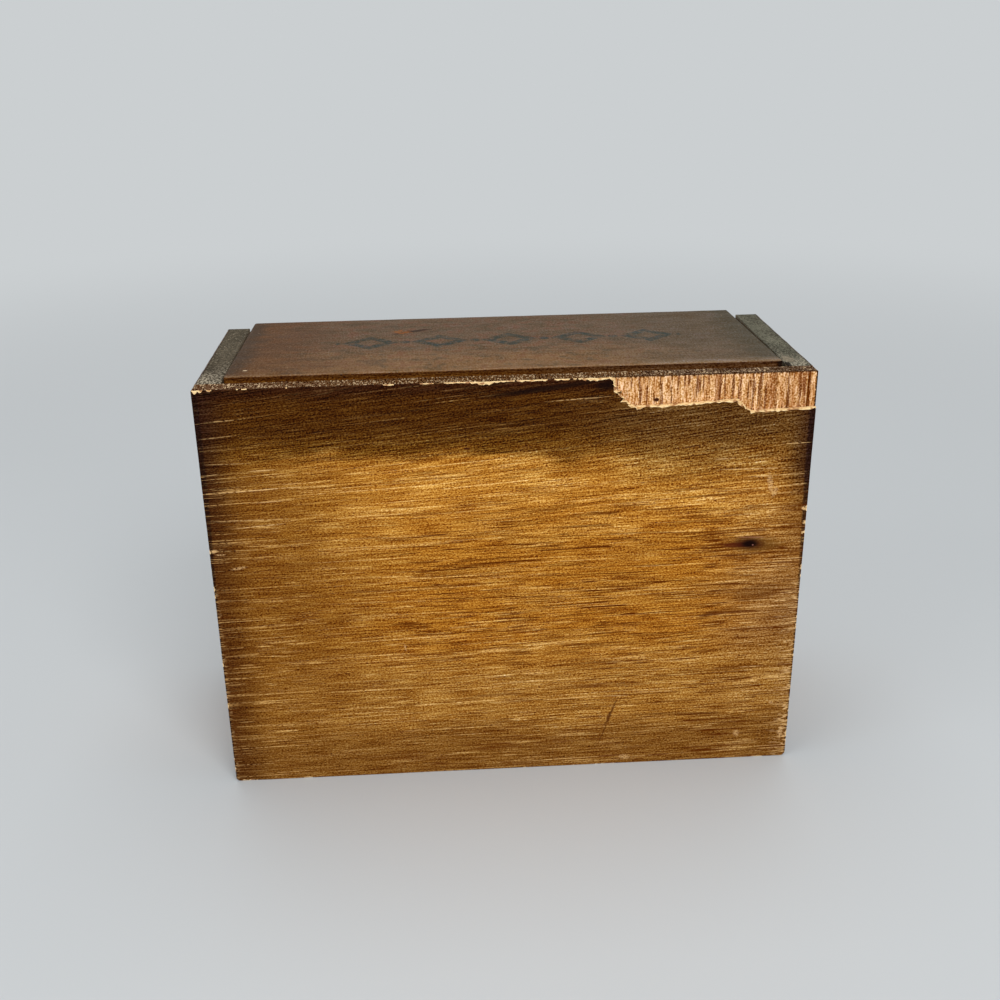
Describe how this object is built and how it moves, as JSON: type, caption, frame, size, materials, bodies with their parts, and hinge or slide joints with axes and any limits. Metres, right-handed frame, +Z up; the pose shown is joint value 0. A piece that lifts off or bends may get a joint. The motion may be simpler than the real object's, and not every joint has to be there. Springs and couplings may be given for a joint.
{
  "type": "recipe card box",
  "caption": "Small upright wooden box for recipe cards, with plywood front, back and bottom, solid side boards and a board lid that turns up on nails.",
  "frame": {"origin": "on the surface the box stands on, under the middle of its outer size", "axes": "+Z up, the front faces -Y and the back +Y, +X to the right of someone who faces the front"},
  "size_m": [0.146, 0.063, 0.1078],
  "materials": {
    "side_board": "dark stain, worn satin lacquer",
    "toasted_veneer": "toasted honey brown with dark edges, satin lacquer",
    "core_ply": "bare wood",
    "inner_veneer": "bare wood, matt",
    "lid_board": "brown stain, rubbed satin lacquer",
    "nail_steel": "dulled bright wire"
  },
  "bodies": {
    "box": {"left_side": "side_board", "right_side": "side_board", "back_face_veneer": "toasted_veneer", "back_core_ply": "core_ply", "back_inner_veneer": "inner_veneer", "front_face_veneer": "toasted_veneer", "front_core_ply": "core_ply", "front_inner_veneer": "inner_veneer", "bottom_lower_veneer": "inner_veneer", "bottom_core_ply": "core_ply", "bottom_upper_veneer": "inner_veneer", "left_hinge_pin": "nail_steel", "right_hinge_pin": "nail_steel"},
    "lid": {"lid": "lid_board"}
  },
  "joints": [
    {"name": "lid_hinge", "type": "hinge", "parent": "box", "child": "lid", "pos_m": [0, 0.01864, 0.10471], "axis": [-1, 0, 0], "range_deg": [0, 143.8]}
  ]
}
